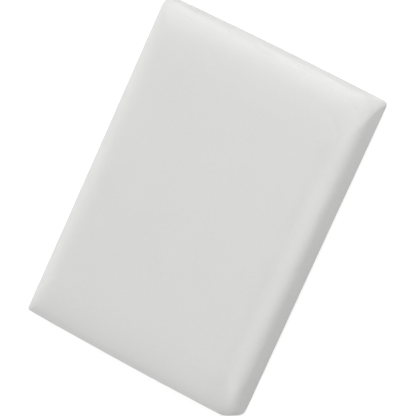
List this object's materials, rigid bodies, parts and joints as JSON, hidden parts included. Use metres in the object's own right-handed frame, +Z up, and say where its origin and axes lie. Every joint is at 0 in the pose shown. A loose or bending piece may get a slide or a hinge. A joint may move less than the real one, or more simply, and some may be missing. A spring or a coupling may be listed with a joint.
{
  "type": "nail buffer block",
  "caption": "Small white foam block with bonded abrasive faces, fine above and coarse below, held in the fingers to smooth nails.",
  "frame": {"origin": "centre of the underside, on the surface that the block rests on", "axes": "+Z up through the thickness, from the coarse face to the fine face; +Y along the length; +X across the width"},
  "size_m": [0.025, 0.0364, 0.01],
  "materials": {
    "foam_core": "fine closed-cell foam, cut, matt, white",
    "adhesive_film": "clear-set laminating adhesive, satin",
    "backing_paper": "latex-treated abrasive backing paper, matt",
    "make_coat": "cured resin bond coat, satin",
    "fine_grain_coat": "white aluminium oxide grain locked in its size resin, fine",
    "fine_face": "white stearate anti-clogging coat over fine grain, matt",
    "coarse_grain_coat": "white aluminium oxide grain locked in its size resin, coarse",
    "coarse_face": "white stearate anti-clogging coat over coarse grain, matt"
  },
  "bodies": {
    "root": {"foam_core": "foam_core", "top_adhesive_film": "adhesive_film", "top_backing_paper": "backing_paper", "top_make_coat": "make_coat", "top_grain_coat": "fine_grain_coat", "top_stearate_coat": "fine_face", "bottom_adhesive_film": "adhesive_film", "bottom_backing_paper": "backing_paper", "bottom_make_coat": "make_coat", "bottom_grain_coat": "coarse_grain_coat", "bottom_stearate_coat": "coarse_face"}
  },
  "joints": []
}
